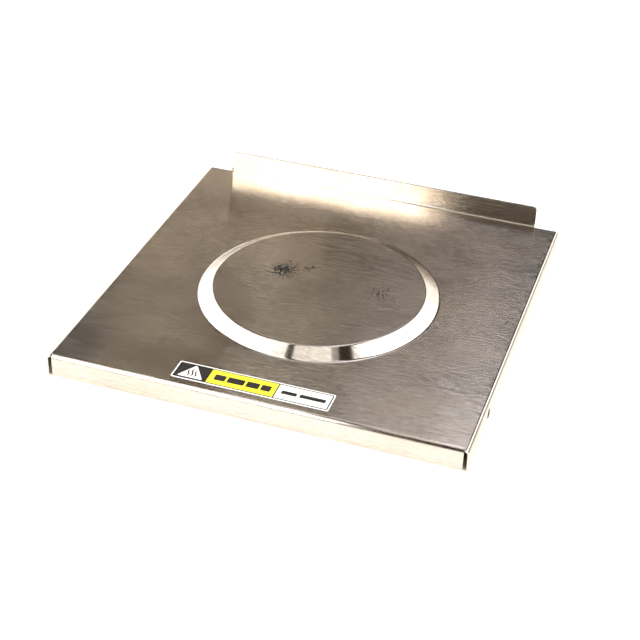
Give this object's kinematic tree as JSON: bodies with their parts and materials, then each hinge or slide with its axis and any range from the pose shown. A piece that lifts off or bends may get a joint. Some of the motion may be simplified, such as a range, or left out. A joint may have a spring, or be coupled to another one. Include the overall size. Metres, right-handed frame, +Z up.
{
  "type": "hot plate burner",
  "caption": "Square folded stainless burner top with a round raised heating disc, rear upstand and a clamped mica element underneath.",
  "frame": {"origin": "middle of the footprint, on the plane that the lower edges of the flanges stand on", "axes": "+Z up through the raised disc, +X to the right and +Y to the rear, towards the upstand"},
  "size_m": [0.2032, 0.2032, 0.0228],
  "materials": {
    "brushed_stainless": "fine brushing from side to side, softly worn",
    "label_film": "printed film in black, yellow and white",
    "spreader_aluminium": "rolled",
    "mica_sheet": "pressed flakes with a silky sheen",
    "resistance_alloy": "oxidised ribbon",
    "ceramic_fibre": "soft felted fibre",
    "aluminised_steel": "matt hot-dip coat, heat stained",
    "zinc_plated_steel": "bright plated",
    "spring_steel": "dark oiled",
    "stainless_hardware": "turned",
    "glazed_ceramic": "off-white steatite",
    "nickel_plate": "stamped and plated",
    "brass_hardware": "turned, dulled"
  },
  "bodies": {
    "root": {"top_plate": "brushed_stainless", "warning_label": "label_film", "clamp_stud": "stainless_hardware", "heat_spreader": "spreader_aluminium", "upper_mica": "mica_sheet", "winding_card_left": "mica_sheet", "winding_card_right": "mica_sheet", "heating_ribbon": "resistance_alloy", "lower_mica": "mica_sheet", "insulation_pad": "ceramic_fibre", "retainer_pan": "aluminised_steel", "clamp_washer": "zinc_plated_steel", "clamp_spring_washer": "spring_steel", "clamp_nut": "zinc_plated_steel", "terminal_screw_left": "stainless_hardware", "terminal_screw_right": "stainless_hardware", "ceramic_bush_left": "glazed_ceramic", "ceramic_bush_right": "glazed_ceramic", "terminal_blade_left": "nickel_plate", "terminal_blade_right": "nickel_plate", "terminal_washers": "zinc_plated_steel", "terminal_nuts": "stainless_hardware", "earth_stud": "brass_hardware", "earth_blade": "nickel_plate", "earth_washer": "zinc_plated_steel", "earth_nut": "brass_hardware"}
  },
  "joints": []
}
